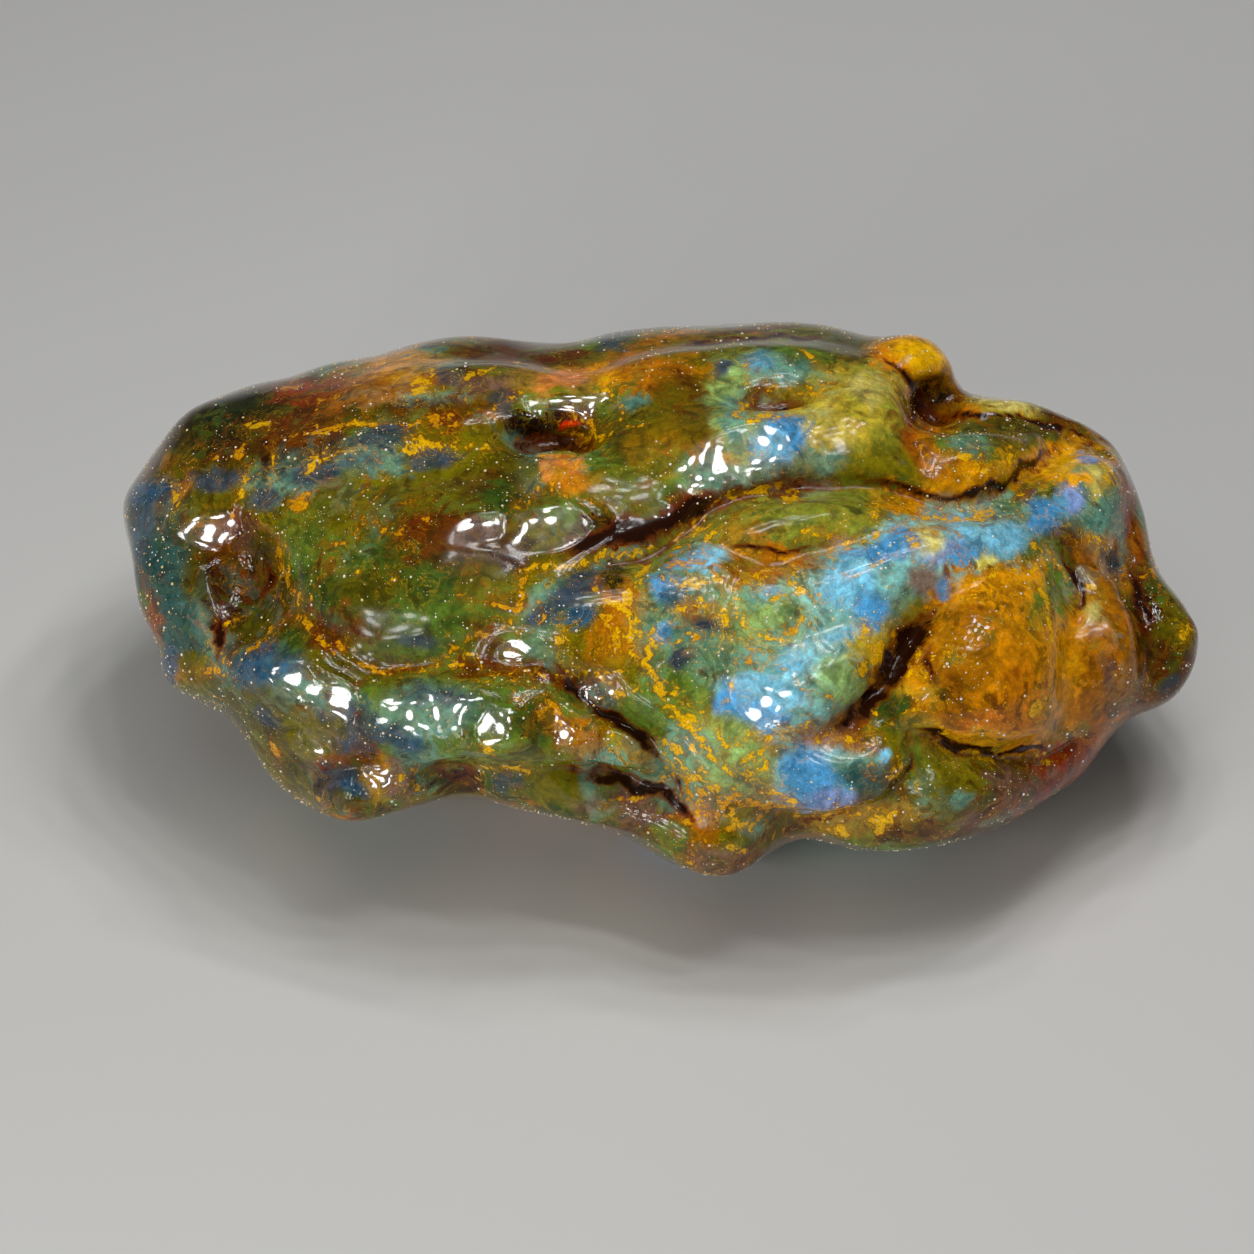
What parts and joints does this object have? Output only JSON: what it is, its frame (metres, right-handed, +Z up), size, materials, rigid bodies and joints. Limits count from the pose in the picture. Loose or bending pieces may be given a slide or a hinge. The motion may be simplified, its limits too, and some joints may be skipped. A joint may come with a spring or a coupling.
{
  "type": "dominican blue amber",
  "caption": "Irregular glossy nugget of blue amber with rounded lobes and deep folds, golden brown and see-through with cloudy blue and green hazes, lying on its worn flat underside.",
  "frame": {"origin": "middle of the box's footprint, on the level of the flat underside that the nugget lies on", "axes": "+X along the nugget's length, to the right as seen from the near side; +Y from the near side to the far side; +Z up"},
  "size_m": [0.1076, 0.0688, 0.0463],
  "materials": {
    "amber": "polished see-through resin, golden brown with blue and green hazes"
  },
  "bodies": {
    "root": {"amber_nugget": "amber"}
  },
  "joints": []
}
